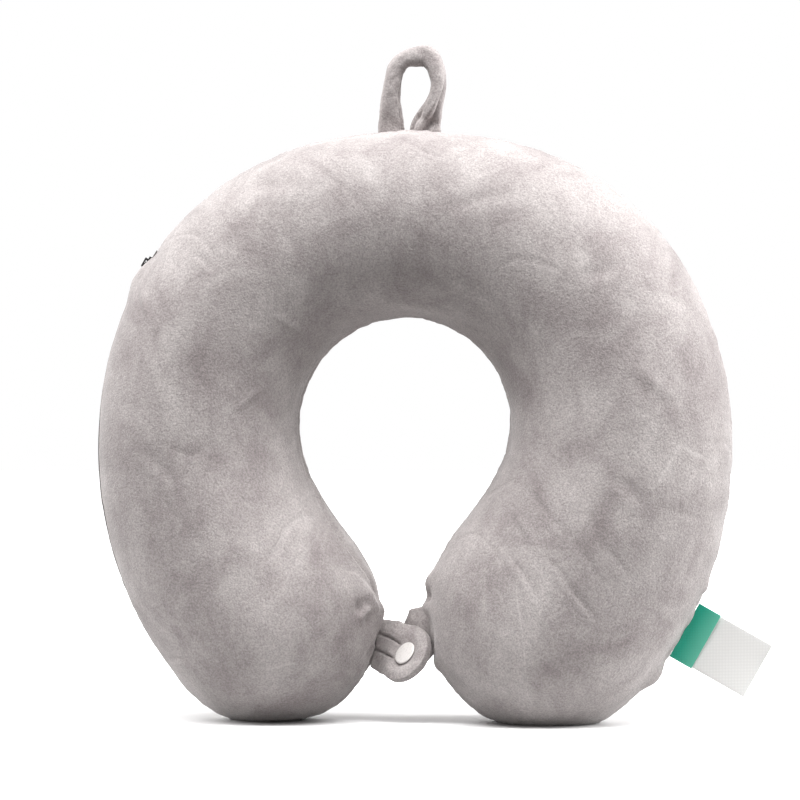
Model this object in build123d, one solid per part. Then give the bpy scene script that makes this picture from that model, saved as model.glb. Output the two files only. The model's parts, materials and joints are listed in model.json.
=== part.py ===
from build123d import *
from math import asin, cos, degrees, radians, sin, sqrt
import os

# U shaped travel neck pillow, standing on the rounded ends of its two arms with the
# back-of-neck part at the top.  Millimetres, +Z up, +X to the right seen from the
# front, front face towards -Y.  The origin is on the floor, in the seam plane, half
# way between the two outer edges.

# ---- overall shape -------------------------------------------------------------
overall_width = 300.0
body_height = 277.0
neck_hole_radius = 50.4
neck_centre_x = -4.0
neck_centre_z = 139.0
side_arc_radius = 172.0
side_arc_centre_z = 127.5
crown_angle = 57.5
left_lobe_radius = 53.0
right_lobe_radius = 57.5
left_foot_depth = 4.0
right_foot_depth = 6.0
half_thickness_back = 40.0
half_thickness_side = 46.0
half_thickness_lobe = 50.0

# ---- fabric and foam layers ----------------------------------------------------
cover_thickness = 2.0
liner_thickness = 0.6
layer_clearance = 0.2

# ---- zip in the left outer seam, its angles measured from the horizontal -------
zip_top_angle = 33.2
zip_bottom_angle = -38.6
zip_slot_clearance = 0.7
tape_depth = 2.2
tape_thickness = 0.5
tape_half_width = 11.0
tape_clearance = 0.15
coil_gap = 1.2
coil_width = 1.6
coil_height = 1.5
coil_lift = 0.05
coil_rounding = 0.5
stop_length = 2.0
top_stop_length = 1.2
slider_parked_angle = 30.5
slider_length = 8.0
slider_width = 7.4
slider_plate = 0.8
slider_flange = 0.7
slider_clearance = 0.25
slider_post_width = 0.6
slider_post_length = 1.8
bridge_length = 4.6
bridge_width = 1.4
bridge_window_length = 2.4
bridge_window_height = 1.3
bridge_bar = 0.7
pull_length = 11.0
pull_width = 5.0
pull_thickness = 0.9
pull_pin_diameter = 0.7
pull_root_length = 0.55
pull_eye_diameter = 2.4
pull_corner_radius = 1.2
pull_fork_clearance = 0.2
pull_pin_inset = 0.5
groove_clearance = 0.3
zip_margin = 20.0

# ---- hanging loop at the crown -------------------------------------------------
loop_left_x = -10.4
loop_right_x = 6.0
loop_arch_centre_x = 0.4
loop_arch_rise = 24.0
loop_arch_radius = 11.4
loop_base_gap = 0.9
loop_base_width = 13.0
loop_base_thickness = 3.6
loop_top_width = 8.2
loop_top_thickness = 10.0
loop_leg_share = 0.6

# ---- closure tabs and their press stud ------------------------------------------
left_tab_root_angle = 14.0
left_tab_root_gap = 2.4
left_tab_tilt = 38.0
left_tab_reach = 15.2
left_tab_neck_width = 22.0
left_tab_thickness = 3.3
tab_end_radius = 14.0
tab_root_start = 0.3
right_tab_turn = 41.6
right_tab_reach = 7.2
right_tab_thickness = 3.0
snap_cap_diameter = 11.3
snap_cap_thickness = 1.3
snap_cap_rounding = 0.6
cap_post_diameter = 3.0
post_clearance = 0.1
socket_diameter = 10.0
socket_thickness = 2.2
socket_floor = 0.6
socket_bore = 4.6
snap_face_gap = 0.2
stud_base_diameter = 9.5
stud_base_thickness = 1.2
stud_bulb_diameter = 3.6
stud_bulb_height = 1.3
stud_hollow_depth = 0.85
back_post_diameter = 2.0

# ---- labels in the right outer seam --------------------------------------------
label_angle = 29.3
label_seam_gap = 1.6
short_label_width = 28.4
short_label_reach = 9.0
short_label_thickness = 0.8
care_label_width = 27.3
care_label_reach = 36.4
care_leaf_thickness = 0.3
care_leaf_gap = 0.1
label_layer_gap = 0.1

# ---- how finely the padded body is drawn ----------------------------------------
ring_steps = 24
arm_steps = 5
lobe_turns = (20, 38, 54, 68, 79, 86)
far = 400.0

LEFT = -1
RIGHT = 1


# ---- outline of the padded body --------------------------------------------------
def spread(angle):
    """Unit direction in the seam plane, turned clockwise from straight up."""
    return Vector(sin(radians(angle)), 0, cos(radians(angle)))


def along(angle):
    """Direction in which the pillow runs on from left to right at that angle."""
    return Vector(cos(radians(angle)), 0, -sin(radians(angle)))


def arc_centre(side):
    """Centre of the long outer arc of one side."""
    return Vector(-side * (side_arc_radius - overall_width / 2), 0, side_arc_centre_z)


def neck_centre():
    return Vector(neck_centre_x, 0, neck_centre_z)


def reach_to_side_arc(angle, side):
    """Distance from the neck centre to the outer arc of a side."""
    offset = neck_centre() - arc_centre(side)
    direction = spread(side * angle)
    shift = offset.dot(direction)
    return -shift + sqrt(shift**2 - offset.dot(offset) + side_arc_radius**2)


def outer_reach(angle, side):
    """Distance from the neck centre to the outer edge, eased over the crown."""
    if angle >= crown_angle:
        return reach_to_side_arc(angle, side)
    top = body_height - neck_centre_z
    share = angle / crown_angle
    ease = share**2 * (3 - 2 * share)
    return top + (reach_to_side_arc(crown_angle, side) - top) * ease


def lobe_radius(side):
    return left_lobe_radius if side == LEFT else right_lobe_radius


def lobe_drop(side):
    """Angle below the horizontal at which the arm ends in its rounded lobe."""
    depth = left_foot_depth if side == LEFT else right_foot_depth
    fall = side_arc_centre_z - (lobe_radius(side) - depth)
    return degrees(asin(fall / (side_arc_radius - lobe_radius(side))))


def lobe_centre(side):
    out = side_arc_radius - lobe_radius(side)
    return arc_centre(side) + spread(side * (90 + lobe_drop(side))) * out


def arm_half_width(side, share):
    """Half width of an arm, from the side of the neck (0) to the lobe (1)."""
    rise = neck_centre_z - side_arc_centre_z
    inner = abs(neck_centre_x + side * sqrt(neck_hole_radius**2 - rise**2))
    start = (overall_width / 2 - inner) / 2
    return start + (lobe_radius(side) - start) * sin(radians(90 * share))


# ---- the padded body at a given inset ---------------------------------------------
def section(centre, angle, half_width, half_depth, inset):
    plane = Plane(origin=centre, x_dir=spread(angle), z_dir=along(angle))
    return plane * Ellipse(half_width - inset, half_depth - inset)


def ring_sections(inset):
    sections = []
    for step in range(ring_steps + 1):
        angle = 180 * step / ring_steps - 90
        side = LEFT if angle < 0 else RIGHT
        reach = outer_reach(abs(angle), side)
        centre = neck_centre() + spread(angle) * ((reach + neck_hole_radius) / 2)
        thicker = 1 - cos(radians(angle))
        half_depth = half_thickness_back + (half_thickness_side - half_thickness_back) * thicker
        sections.append(section(centre, angle, (reach - neck_hole_radius) / 2, half_depth, inset))
    return sections


def arm_sections(side, inset):
    sections = []
    for step in range(arm_steps + 1):
        share = step / arm_steps
        angle = side * (90 + lobe_drop(side) * share)
        half_width = arm_half_width(side, share)
        centre = arc_centre(side) + spread(angle) * (side_arc_radius - half_width)
        thicker = sin(radians(90 * share))
        half_depth = half_thickness_side + (half_thickness_lobe - half_thickness_side) * thicker
        sections.append(section(centre, angle, half_width, half_depth, inset))
    return sections


def lobe_sections(side, inset):
    """Rounded end of an arm: parallel sections that shrink as on a spheroid."""
    angle = side * (90 + lobe_drop(side))
    radius = lobe_radius(side) - inset
    half_depth = half_thickness_lobe - inset
    sections = []
    for turn in lobe_turns:
        centre = lobe_centre(side) + along(angle) * (side * radius * sin(radians(turn)))
        shrink = cos(radians(turn))
        sections.append(section(centre, angle, radius * shrink, half_depth * shrink, 0))
    return sections


def padded_body(inset):
    """The whole pillow shape, a given distance inside its outer surface."""
    left = lobe_sections(LEFT, inset)[::-1] + arm_sections(LEFT, inset)[::-1]
    right = arm_sections(RIGHT, inset) + lobe_sections(RIGHT, inset)
    sections = left + ring_sections(inset) + right
    spans = [loft(pair, ruled=True) for pair in zip(sections, sections[1:])]
    body = spans[0].fuse(*spans[1:])
    below = Pos(0, 0, inset - far / 2) * Box(2 * far, 2 * far, far)
    return body - below


# ---- zip geometry: everything is turned about the left arc's centre ----------------
zip_axis = Axis(tuple(arc_centre(LEFT)), (0, 1, 0))


def arc_angle(length):
    """Angle that a length takes up along the zip."""
    return degrees(length / side_arc_radius)


def zip_band(low, high, front, back, start, end):
    """Bent bar along the zip, between two radii, two Y values and two angles."""
    out = spread(-90 + start)
    plane = Plane(origin=arc_centre(LEFT), x_dir=out, z_dir=out.cross(Vector(0, 1, 0)))
    bar = Pos((low + high) / 2, (front + back) / 2) * Rectangle(high - low, back - front)
    return revolve(plane * bar, axis=zip_axis, revolution_arc=end - start)


tape_top = side_arc_radius - tape_depth
tape_bottom = tape_top - tape_thickness
coil_bottom = tape_top + coil_lift
coil_top = coil_bottom + coil_height
slider_floor = tape_bottom - slider_clearance
slider_bottom = slider_floor - slider_plate
slider_roof = coil_top + slider_clearance
slider_top = slider_roof + slider_plate
groove_floor = slider_bottom - groove_clearance
pull_pivot_radius = slider_top + bridge_window_height / 2


def zip_groove(depth):
    """Room under the zip for tapes and slider, cut into the layers below the cover."""
    half = tape_half_width + tape_clearance + depth
    ends = arc_angle(tape_clearance + depth)
    return zip_band(groove_floor - depth, side_arc_radius + zip_margin, -half, half,
                    zip_bottom_angle - ends, zip_top_angle + ends)


# ---- soft layers -------------------------------------------------------------------
def cover():
    shell = padded_body(0) - padded_body(cover_thickness)
    reach = tape_half_width + tape_clearance
    ends = arc_angle(tape_clearance)
    low = side_arc_radius - zip_margin
    rebate = zip_band(low, tape_top + tape_clearance, -reach, reach,
                      zip_bottom_angle - ends, zip_top_angle + ends)
    half = slider_width / 2 + zip_slot_clearance
    slot = zip_band(low, side_arc_radius + zip_margin, -half, half,
                    zip_bottom_angle, zip_top_angle)
    return shell - rebate - slot


def half_space(side):
    """Everything in front of (-1) or behind (+1) the seam plane."""
    return Pos(0, side * far / 2, 0) * Box(2 * far, far, 2 * far)


def inner_liner():
    outside = cover_thickness + layer_clearance
    outer = padded_body(outside) - zip_groove(0)
    inner = padded_body(outside + liner_thickness) - zip_groove(liner_thickness)
    return outer - inner


def foam_core():
    inset = cover_thickness + layer_clearance + liner_thickness + layer_clearance
    return padded_body(inset) - zip_groove(liner_thickness + layer_clearance)


# ---- zip pieces ----------------------------------------------------------------------
def zip_tape(side):
    edges = sorted((side * coil_gap / 2, side * tape_half_width))
    return zip_band(tape_bottom, tape_top, edges[0], edges[1], zip_bottom_angle, zip_top_angle)


def zip_coil(side):
    edges = sorted((side * coil_gap / 2, side * (coil_gap / 2 + coil_width)))
    start = zip_bottom_angle + 2 * arc_angle(stop_length)
    end = zip_top_angle - 2 * arc_angle(stop_length)
    coil = zip_band(coil_bottom, coil_top, edges[0], edges[1], start, end)
    rounded = coil.edges().group_by(lambda edge: edge.length)[-1]
    return fillet(rounded, coil_rounding)


def zip_top_stops():
    """One small stop on each tape, just past the closed slider."""
    end = zip_top_angle - arc_angle(tape_clearance)
    start = end - arc_angle(top_stop_length)
    inner = coil_gap / 2
    outer = inner + coil_width
    front = zip_band(coil_bottom, coil_top, -outer, -inner, start, end)
    back = zip_band(coil_bottom, coil_top, inner, outer, start, end)
    return front + back


def zip_bottom_stop():
    """One stop clamped across both tapes at the open end of the travel."""
    start = zip_bottom_angle + arc_angle(tape_clearance)
    outer = coil_gap / 2 + coil_width
    return zip_band(coil_bottom, coil_top, -outer, outer, start, start + arc_angle(stop_length))


def slider_span(start, end):
    """Angles of a stretch of the slider, from lengths measured off its middle."""
    return slider_parked_angle + arc_angle(start), slider_parked_angle + arc_angle(end)


def zip_slider():
    half_width = slider_width / 2
    half = slider_length / 2
    whole = slider_span(-half, half)
    body = zip_band(slider_roof, slider_top, -half_width, half_width, *whole)
    body += zip_band(slider_bottom, slider_floor, -half_width, half_width, *whole)
    post = slider_post_width / 2
    body += zip_band(slider_floor, slider_roof, -post, post,
                     *slider_span(half - slider_post_length, half))
    flange_low = tape_top + slider_clearance
    body += zip_band(flange_low, slider_roof, -half_width, -half_width + slider_flange, *whole)
    body += zip_band(flange_low, slider_roof, half_width - slider_flange, half_width, *whole)
    return body + slider_bridge()


def slider_bridge():
    """Small bridge on the slider that holds the pull tab's pin."""
    half = bridge_length / 2
    window = bridge_window_length / 2
    wide = bridge_width / 2
    high = slider_top + bridge_window_height
    legs = zip_band(slider_top, high + bridge_bar, -wide, wide, *slider_span(-half, -window))
    legs += zip_band(slider_top, high + bridge_bar, -wide, wide, *slider_span(window, half))
    return legs + zip_band(high, high + bridge_bar, -wide, wide, *slider_span(-half, half))


def pull_pivot():
    return arc_centre(LEFT) + spread(-90 + slider_parked_angle) * pull_pivot_radius


def zip_pull_tab():
    """Pull tab hanging down along the zip from a pin through the slider's bridge."""
    outward = spread(-90 + slider_parked_angle)
    plane = Plane(origin=pull_pivot(), x_dir=-along(-90 + slider_parked_angle), z_dir=outward)
    fork = sqrt((bridge_length / 2)**2 + (bridge_window_height / 2 + bridge_bar)**2)
    fork += slider_clearance
    middle = (pull_length - pull_root_length) / 2
    blade = Box(pull_length + pull_root_length, pull_width, pull_thickness)
    blade = plane * Pos(middle, 0, 0) * blade
    blade = fillet(blade.edges().filter_by(Axis(tuple(pull_pivot()), tuple(outward))), pull_corner_radius)
    fork_width = bridge_width + 2 * pull_fork_clearance
    slot = plane * Pos(fork / 2 - far / 2, 0, 0) * Box(fork + far, fork_width, pull_width)
    eye = Cylinder(pull_eye_diameter / 2, pull_width)
    eye = plane * Pos(pull_length - pull_eye_diameter, 0, 0) * eye
    pin_length = pull_width - 2 * pull_pin_inset
    pin = plane * Rot(90, 0, 0) * Cylinder(pull_pin_diameter / 2, pin_length)
    return blade - slot - eye + pin


# ---- hanging loop ----------------------------------------------------------------------
def loop_base_z():
    return body_height + loop_base_gap


def loop_arch_z():
    return body_height + loop_arch_rise


def loop_section(point, direction, share):
    """One oval section; share runs from 0 at the sewn ends to 1 at the top."""
    wide = loop_base_width + (loop_top_width - loop_base_width) * share
    thick = loop_base_thickness + (loop_top_thickness - loop_base_thickness) * share
    plane = Plane(origin=point, x_dir=direction.cross(Vector(0, 1, 0)), z_dir=direction)
    return plane * Ellipse(wide / 2, thick / 2)


def loop_leg(side, share):
    """Section of one leg, drawn in towards its sewn end as the share falls to 0."""
    base_x = loop_left_x if side == LEFT else loop_right_x
    arch_x = loop_arch_centre_x + side * loop_arch_radius
    x = arch_x + (base_x - arch_x) * (1 - share)**2
    z = loop_base_z() + (loop_arch_z() - loop_base_z()) * share
    return loop_section(Vector(x, 0, z), Vector(0, 0, -side), loop_leg_share * share)


def hanging_loop():
    """Soft strap: flat where it is sewn into the seam, rounder over the top."""
    centre = Vector(loop_arch_centre_x, 0, loop_arch_z())
    leg_shares = (0, 0.2, 0.4, 0.6, 0.8)
    sections = [loop_leg(LEFT, share) for share in leg_shares]
    for turn in range(-90, 91, 18):
        share = loop_leg_share + (1 - loop_leg_share) * cos(radians(turn))
        sections.append(loop_section(centre + spread(turn) * loop_arch_radius, along(turn), share))
    sections += [loop_leg(RIGHT, share) for share in leg_shares[::-1]]
    return loft(sections, ruled=True)


# ---- closure tabs ------------------------------------------------------------------------
def left_tab_plane():
    """Plane of the left tab: origin on its fold line, X to its tip, Z to the front."""
    out = spread(90 + left_tab_root_angle)
    origin = lobe_centre(LEFT) + out * (left_lobe_radius + left_tab_root_gap)
    tilt = radians(left_tab_tilt)
    reach = out * cos(tilt) + Vector(0, -1, 0) * sin(tilt)
    fold = along(90 + left_tab_root_angle)
    return Plane(origin=origin, x_dir=reach, z_dir=reach.cross(fold) * -1)


def left_closure_tab():
    """Round ended velour tab with a hole for the cap's post."""
    start = tab_root_start
    middle = (start + left_tab_reach) / 2
    outline = Pos(middle, 0) * Rectangle(left_tab_reach - start, left_tab_neck_width)
    outline += Pos(left_tab_reach, 0) * Circle(tab_end_radius)
    outline -= Pos(left_tab_reach, 0) * Circle(cap_post_diameter / 2 + post_clearance)
    return left_tab_plane() * extrude(outline, left_tab_thickness / 2, both=True)


socket_face = -left_tab_thickness / 2 - socket_thickness
stud_face = socket_face - snap_face_gap
right_tab_front = stud_face - stud_base_thickness
right_tab_back = right_tab_front - right_tab_thickness


def on_snap(height):
    """Location on the press stud's axis, a height in front of the left tab's middle."""
    return Location(left_tab_plane()) * Pos(left_tab_reach, 0, height)


def rod(diameter, low, high):
    """Round bar on the press stud's axis between two heights."""
    return on_snap((low + high) / 2) * Cylinder(diameter / 2, high - low)


def snap_cap():
    low = left_tab_thickness / 2
    disc = rod(snap_cap_diameter, low, low + snap_cap_thickness)
    rim = disc.edges().filter_by(GeomType.CIRCLE).sort_by(Axis.Y)[0]
    disc = fillet(rim, snap_cap_rounding)
    return disc + rod(cap_post_diameter, -low - socket_floor, low)


def snap_socket():
    top = -left_tab_thickness / 2
    body = rod(socket_diameter, socket_face, top)
    body -= rod(cap_post_diameter + 2 * post_clearance, top - socket_floor, top)
    return body - rod(socket_bore, socket_face, top - socket_floor)


def snap_stud():
    body = rod(stud_base_diameter, right_tab_front, stud_face)
    body += rod(stud_bulb_diameter, stud_face, stud_face + stud_bulb_height)
    hollow = back_post_diameter + 2 * post_clearance
    return body - rod(hollow, right_tab_front, right_tab_front + stud_hollow_depth)


def right_closure_tab():
    """The other tab, behind the first and crossing it, cut off straight at its root."""
    root = Rot(0, 0, right_tab_turn) * Pos(right_tab_reach + far / 2, 0) * Rectangle(far, far)
    outline = Circle(tab_end_radius) - root
    outline -= Circle(back_post_diameter / 2 + post_clearance)
    return on_snap(right_tab_back) * extrude(outline, right_tab_thickness)


def snap_back_cap():
    disc = rod(snap_cap_diameter, right_tab_back - snap_cap_thickness, right_tab_back)
    post_top = right_tab_front + stud_hollow_depth - post_clearance
    return disc + rod(back_post_diameter, right_tab_back, post_top)


# ---- labels --------------------------------------------------------------------------------
def label_plane():
    """Origin on the right outer seam, X outwards, Y along the seam, Z to the back."""
    out = spread(90 + label_angle)
    origin = arc_centre(RIGHT) + out * (side_arc_radius + label_seam_gap)
    return Plane(origin=origin, x_dir=out, z_dir=(0, 1, 0))


def short_label():
    """Folded ribbon label in front of the care label, left bare."""
    back = -care_leaf_gap / 2 - care_leaf_thickness - label_layer_gap
    ribbon = Box(short_label_reach, short_label_width, short_label_thickness)
    return label_plane() * Pos(short_label_reach / 2, 0, back - short_label_thickness / 2) * ribbon


def care_label():
    """Two plain leaves sewn in together."""
    leaf = Box(care_label_reach, care_label_width, care_leaf_thickness)
    offset = (care_leaf_gap + care_leaf_thickness) / 2
    front = label_plane() * Pos(care_label_reach / 2, 0, -offset) * leaf
    back = label_plane() * Pos(care_label_reach / 2, 0, offset) * leaf
    return front + back


# ---- write the parts -------------------------------------------------------------------------
def write(name, shape):
    solids = shape.solids()
    result = solids[0] if len(solids) == 1 else Compound(children=solids)
    result.label = name
    export_step(result, "parts/" + name + ".step")
    print(name, len(solids), "solid(s)", round(shape.volume / 1000, 2), "cm3")


def main():
    os.makedirs("parts", exist_ok=True)
    whole_cover = cover()
    write("cover_front_panel", whole_cover & half_space(-1))
    write("cover_back_panel", whole_cover & half_space(1))
    write("inner_liner", inner_liner())
    write("foam_core", foam_core())
    write("zip_tape_front", zip_tape(-1))
    write("zip_tape_back", zip_tape(1))
    write("zip_coil_front", zip_coil(-1))
    write("zip_coil_back", zip_coil(1))
    write("zip_top_stops", zip_top_stops())
    write("zip_bottom_stop", zip_bottom_stop())
    write("zip_slider", zip_slider())
    write("zip_pull_tab", zip_pull_tab())
    write("hanging_loop", hanging_loop())
    write("left_closure_tab", left_closure_tab())
    write("snap_cap", snap_cap())
    write("snap_socket", snap_socket())
    write("right_closure_tab", right_closure_tab())
    write("snap_stud", snap_stud())
    write("snap_back_cap", snap_back_cap())
    write("short_label", short_label())
    write("care_label", care_label())


main()
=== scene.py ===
import json
from math import atan2, cos, exp, pi, radians, sin, sqrt
import bmesh
import bpy
from mathutils import Matrix, Vector, noise


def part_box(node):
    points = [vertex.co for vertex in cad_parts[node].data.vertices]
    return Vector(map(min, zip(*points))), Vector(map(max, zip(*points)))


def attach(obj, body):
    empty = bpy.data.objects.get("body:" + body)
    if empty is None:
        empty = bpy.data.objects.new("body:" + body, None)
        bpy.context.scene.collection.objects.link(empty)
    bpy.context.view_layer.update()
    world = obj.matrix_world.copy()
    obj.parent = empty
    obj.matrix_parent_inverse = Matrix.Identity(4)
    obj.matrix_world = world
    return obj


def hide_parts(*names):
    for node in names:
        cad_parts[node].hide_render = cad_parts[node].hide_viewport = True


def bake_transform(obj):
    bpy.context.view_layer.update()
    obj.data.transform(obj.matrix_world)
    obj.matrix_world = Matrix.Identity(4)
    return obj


bl_info = {
    "name": "Velour Neck Pillow",
    "version": (1, 0, 0),
    "blender": (4, 5, 0),
    "location": "View3D > Sidebar > Neck Pillow",
    "description": "Builds a U shaped velour neck pillow with zip, snap tabs, loop and labels",
    "category": "Mesh",
}

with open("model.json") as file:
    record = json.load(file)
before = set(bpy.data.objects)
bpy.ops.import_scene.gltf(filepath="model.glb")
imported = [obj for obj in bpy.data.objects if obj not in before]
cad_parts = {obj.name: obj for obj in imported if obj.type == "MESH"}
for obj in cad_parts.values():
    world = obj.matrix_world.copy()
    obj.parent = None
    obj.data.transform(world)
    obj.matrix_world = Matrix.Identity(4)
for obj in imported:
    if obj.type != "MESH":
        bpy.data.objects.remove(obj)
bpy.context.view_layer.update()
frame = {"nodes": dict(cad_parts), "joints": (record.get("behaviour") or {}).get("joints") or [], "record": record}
MM = 0.001
LAYERS = 3.0 * MM          # cover, liner and their clearances, over the foam
COVER_LOW, COVER_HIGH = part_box("cover_front_panel")
STUD_LOW, STUD_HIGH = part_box("snap_cap")


def joint(name):
    """The frame's joint of that name, with its place and axis as vectors."""
    found = next(j for j in frame["joints"] if j["name"] == name)
    return Vector(found["pos_m"]), Vector(found["axis"]).normalized()


ZIP_CENTRE, _ = joint("zip_travel")
LEFT_FOLD, LEFT_FOLD_AXIS = joint("left_tab_fold")
RIGHT_FOLD, RIGHT_FOLD_AXIS = joint("right_tab_fold")
LOOP_FOLD, _ = joint("loop_fold")
LABEL_FOLD, LABEL_SEAM = joint("label_fold")
LABEL_OUT = LABEL_SEAM.cross(Vector((0, 1, 0))).normalized()
LABEL_OUT = -LABEL_OUT if LABEL_OUT.x < 0 else LABEL_OUT
NECK = Vector(next(m["pos_m"] for m in frame["record"]["mounts"] if m["name"] == "neck_opening"))
STUD = (STUD_LOW + STUD_HIGH) / 2
SECTION_RADIUS = 47 * MM   # of the stuffed arms, across the seam
LABEL_GAP = 1.6 * MM       # from the seam to the labels' fold
SEAM_RADIUS = (LABEL_FOLD - Vector((-ZIP_CENTRE.x, 0, ZIP_CENTRE.z))).length - LABEL_GAP


def zip_place(p):
    """Radius and angle above the horizontal of a point, about the zip's centre."""
    out = ZIP_CENTRE.x - p.x
    up = p.z - ZIP_CENTRE.z
    return sqrt(out * out + up * up), atan2(up, out)


def node_angles(name):
    """Lowest and highest angle of a node along the zip."""
    places = [zip_place(v.co)[1] for v in frame["nodes"][name].data.vertices]
    return min(places), max(places)


ZIP_START, ZIP_END = node_angles("zip_tape_front")


# ---- settings --------------------------------------------------------
class VelourSettings(bpy.types.PropertyGroup):
    light: bpy.props.FloatVectorProperty(
        name="Velour light", description="Nap brushed towards the eye", subtype="COLOR",
        size=3, min=0, max=1, default=(0.472, 0.435, 0.427))
    dark: bpy.props.FloatVectorProperty(
        name="Velour dark", description="Nap brushed away from the eye", subtype="COLOR",
        size=3, min=0, max=1, default=(0.290, 0.256, 0.254))
    voxel: bpy.props.FloatProperty(
        name="Form voxel", description="Size of the cushion form's quads before it swells",
        subtype="DISTANCE", unit="LENGTH", default=5.0 * MM)
    swell: bpy.props.FloatProperty(
        name="Swell", description="How far the cloth may move while it swells",
        subtype="DISTANCE", unit="LENGTH", default=5.0 * MM)
    seam_depth: bpy.props.FloatProperty(
        name="Seam depth", description="How deep the panels' seam is tucked in",
        subtype="DISTANCE", unit="LENGTH", default=1.3 * MM)
    pucker: bpy.props.FloatProperty(
        name="Pucker", description="Height of the small gathers beside the seam",
        subtype="DISTANCE", unit="LENGTH", default=0.60 * MM)


class TrimSettings(bpy.types.PropertyGroup):
    strap_width: bpy.props.FloatProperty(
        name="Loop strap width", description="Width of the hanging loop's flattened tube",
        subtype="DISTANCE", unit="LENGTH", default=12.6 * MM)
    strap_thickness: bpy.props.FloatProperty(
        name="Loop strap thickness", description="Thickness of the hanging loop's tube",
        subtype="DISTANCE", unit="LENGTH", default=4.8 * MM)
    ribbon: bpy.props.FloatVectorProperty(
        name="Ribbon", description="Colour of the short ribbon label", subtype="COLOR",
        size=3, min=0, max=1, default=(0.006, 0.42, 0.28))
    satin: bpy.props.FloatVectorProperty(
        name="Satin", description="Colour of the care label", subtype="COLOR",
        size=3, min=0, max=1, default=(0.96, 0.95, 0.93))
    stud: bpy.props.FloatVectorProperty(
        name="Press stud", description="Colour of the press stud", subtype="COLOR",
        size=3, min=0, max=1, default=(0.72, 0.69, 0.67))
    zip_nylon: bpy.props.FloatVectorProperty(
        name="Zip", description="Colour of the zip's coil and tapes", subtype="COLOR",
        size=3, min=0, max=1, default=(0.20, 0.18, 0.175))
    zip_metal: bpy.props.FloatVectorProperty(
        name="Slider", description="Colour of the painted slider", subtype="COLOR",
        size=3, min=0, max=1, default=(0.07, 0.066, 0.068))


# ---- small helpers ---------------------------------------------------
def clamp(value, low=0.0, high=1.0):
    return max(low, min(high, value))


def bell(distance, width):
    """Smooth bump: 1 at no distance, near 0 past twice the width."""
    return exp(-(distance / width)**2)


def to_front(direction):
    """The direction, turned round if it points to the back."""
    return -direction if direction.y > 0 else direction


def only(obj):
    """Makes obj the one selected and active object."""
    bpy.ops.object.select_all(action="DESELECT")
    obj.select_set(True)
    bpy.context.view_layer.objects.active = obj


def form_from(node, name):
    """A merged copy of a CAD node's mesh as a new object."""
    weld_distance = 0.01 * MM
    mesh = frame["nodes"][node].data.copy()
    mesh.materials.clear()
    obj = bpy.data.objects.new(name, mesh)
    bpy.context.scene.collection.objects.link(obj)
    weld = bmesh.new()
    weld.from_mesh(mesh)
    bmesh.ops.remove_doubles(weld, verts=weld.verts, dist=weld_distance)
    weld.to_mesh(mesh)
    weld.free()
    only(obj)
    return obj


def remesh(obj, voxel):
    """Rebuilds the object's mesh as even quads of about the voxel's size."""
    only(obj)
    obj.data.remesh_voxel_size = voxel
    bpy.ops.object.voxel_remesh()


def add_and_apply(obj, kind, **values):
    """Adds a modifier, sets it up and applies it."""
    only(obj)
    modifier = obj.modifiers.new(kind.title(), kind)
    for key, value in values.items():
        setattr(modifier, key, value)
    bpy.ops.object.modifier_apply(modifier=modifier.name)


def subdivide(obj, levels=1):
    add_and_apply(obj, "SUBSURF", levels=levels, render_levels=levels)


def smooth(obj, factor=0.5, times=4):
    add_and_apply(obj, "SMOOTH", factor=factor, iterations=times)


def move_points(obj, shift):
    """Moves every vertex along its normal by shift(place, normal)."""
    mesh = obj.data
    normals = [v.normal.copy() for v in mesh.vertices]
    for vertex, normal in zip(mesh.vertices, normals):
        vertex.co += normal * shift(vertex.co, normal)
    mesh.update()


def finish_piece(obj, material, body=None, nodes=(), angle=60):
    """Shades a piece, gives it its material and body, and hides the nodes it replaces."""
    only(obj)
    bpy.ops.object.shade_smooth_by_angle(angle=radians(angle))
    obj.data.materials.clear()
    obj.data.materials.append(material)
    if body:
        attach(obj, body)
    if nodes:
        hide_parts(*nodes)
    return obj


# ---- shader node groups and materials --------------------------------
def new_group(name, inputs, outputs):
    """Empty shader node group with named float inputs and outputs."""
    group = bpy.data.node_groups.new(name, "ShaderNodeTree")
    for label, default in inputs:
        socket = group.interface.new_socket(label, in_out="INPUT", socket_type="NodeSocketFloat")
        socket.default_value = default
    for label in outputs:
        group.interface.new_socket(label, in_out="OUTPUT", socket_type="NodeSocketFloat")
    return group, group.nodes.new("NodeGroupInput"), group.nodes.new("NodeGroupOutput")


def add_node(tree, kind, links=None, **values):
    """Adds a node; links maps its inputs to sockets or plain values."""
    node = tree.nodes.new(kind)
    for key, value in values.items():
        setattr(node, key, value)
    for key, value in (links or {}).items():
        if isinstance(value, bpy.types.NodeSocket):
            tree.links.new(value, node.inputs[key])
        else:
            node.inputs[key].default_value = value
    return node


def maths(tree, operation, *values):
    """The result of a Math node on sockets or plain values."""
    return add_node(tree, "ShaderNodeMath", dict(enumerate(values)),
                    operation=operation).outputs[0]


def ranged(tree, value, start=0.0, end=1.0, low=0.0, high=1.0, curve="LINEAR"):
    """The value brought from start..end to low..high."""
    return add_node(tree, "ShaderNodeMapRange", {
        "Value": value, "From Min": start, "From Max": end, "To Min": low, "To Max": high},
        interpolation_type=curve).outputs["Result"]


def mixed(tree, share, first, second, how="MIX"):
    """Two colours mixed by a share."""
    return add_node(tree, "ShaderNodeMix", {0: share, 6: first, 7: second},
                    data_type="RGBA", blend_type=how).outputs[2]


def object_place(tree):
    return add_node(tree, "ShaderNodeTexCoord").outputs["Object"]


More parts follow.
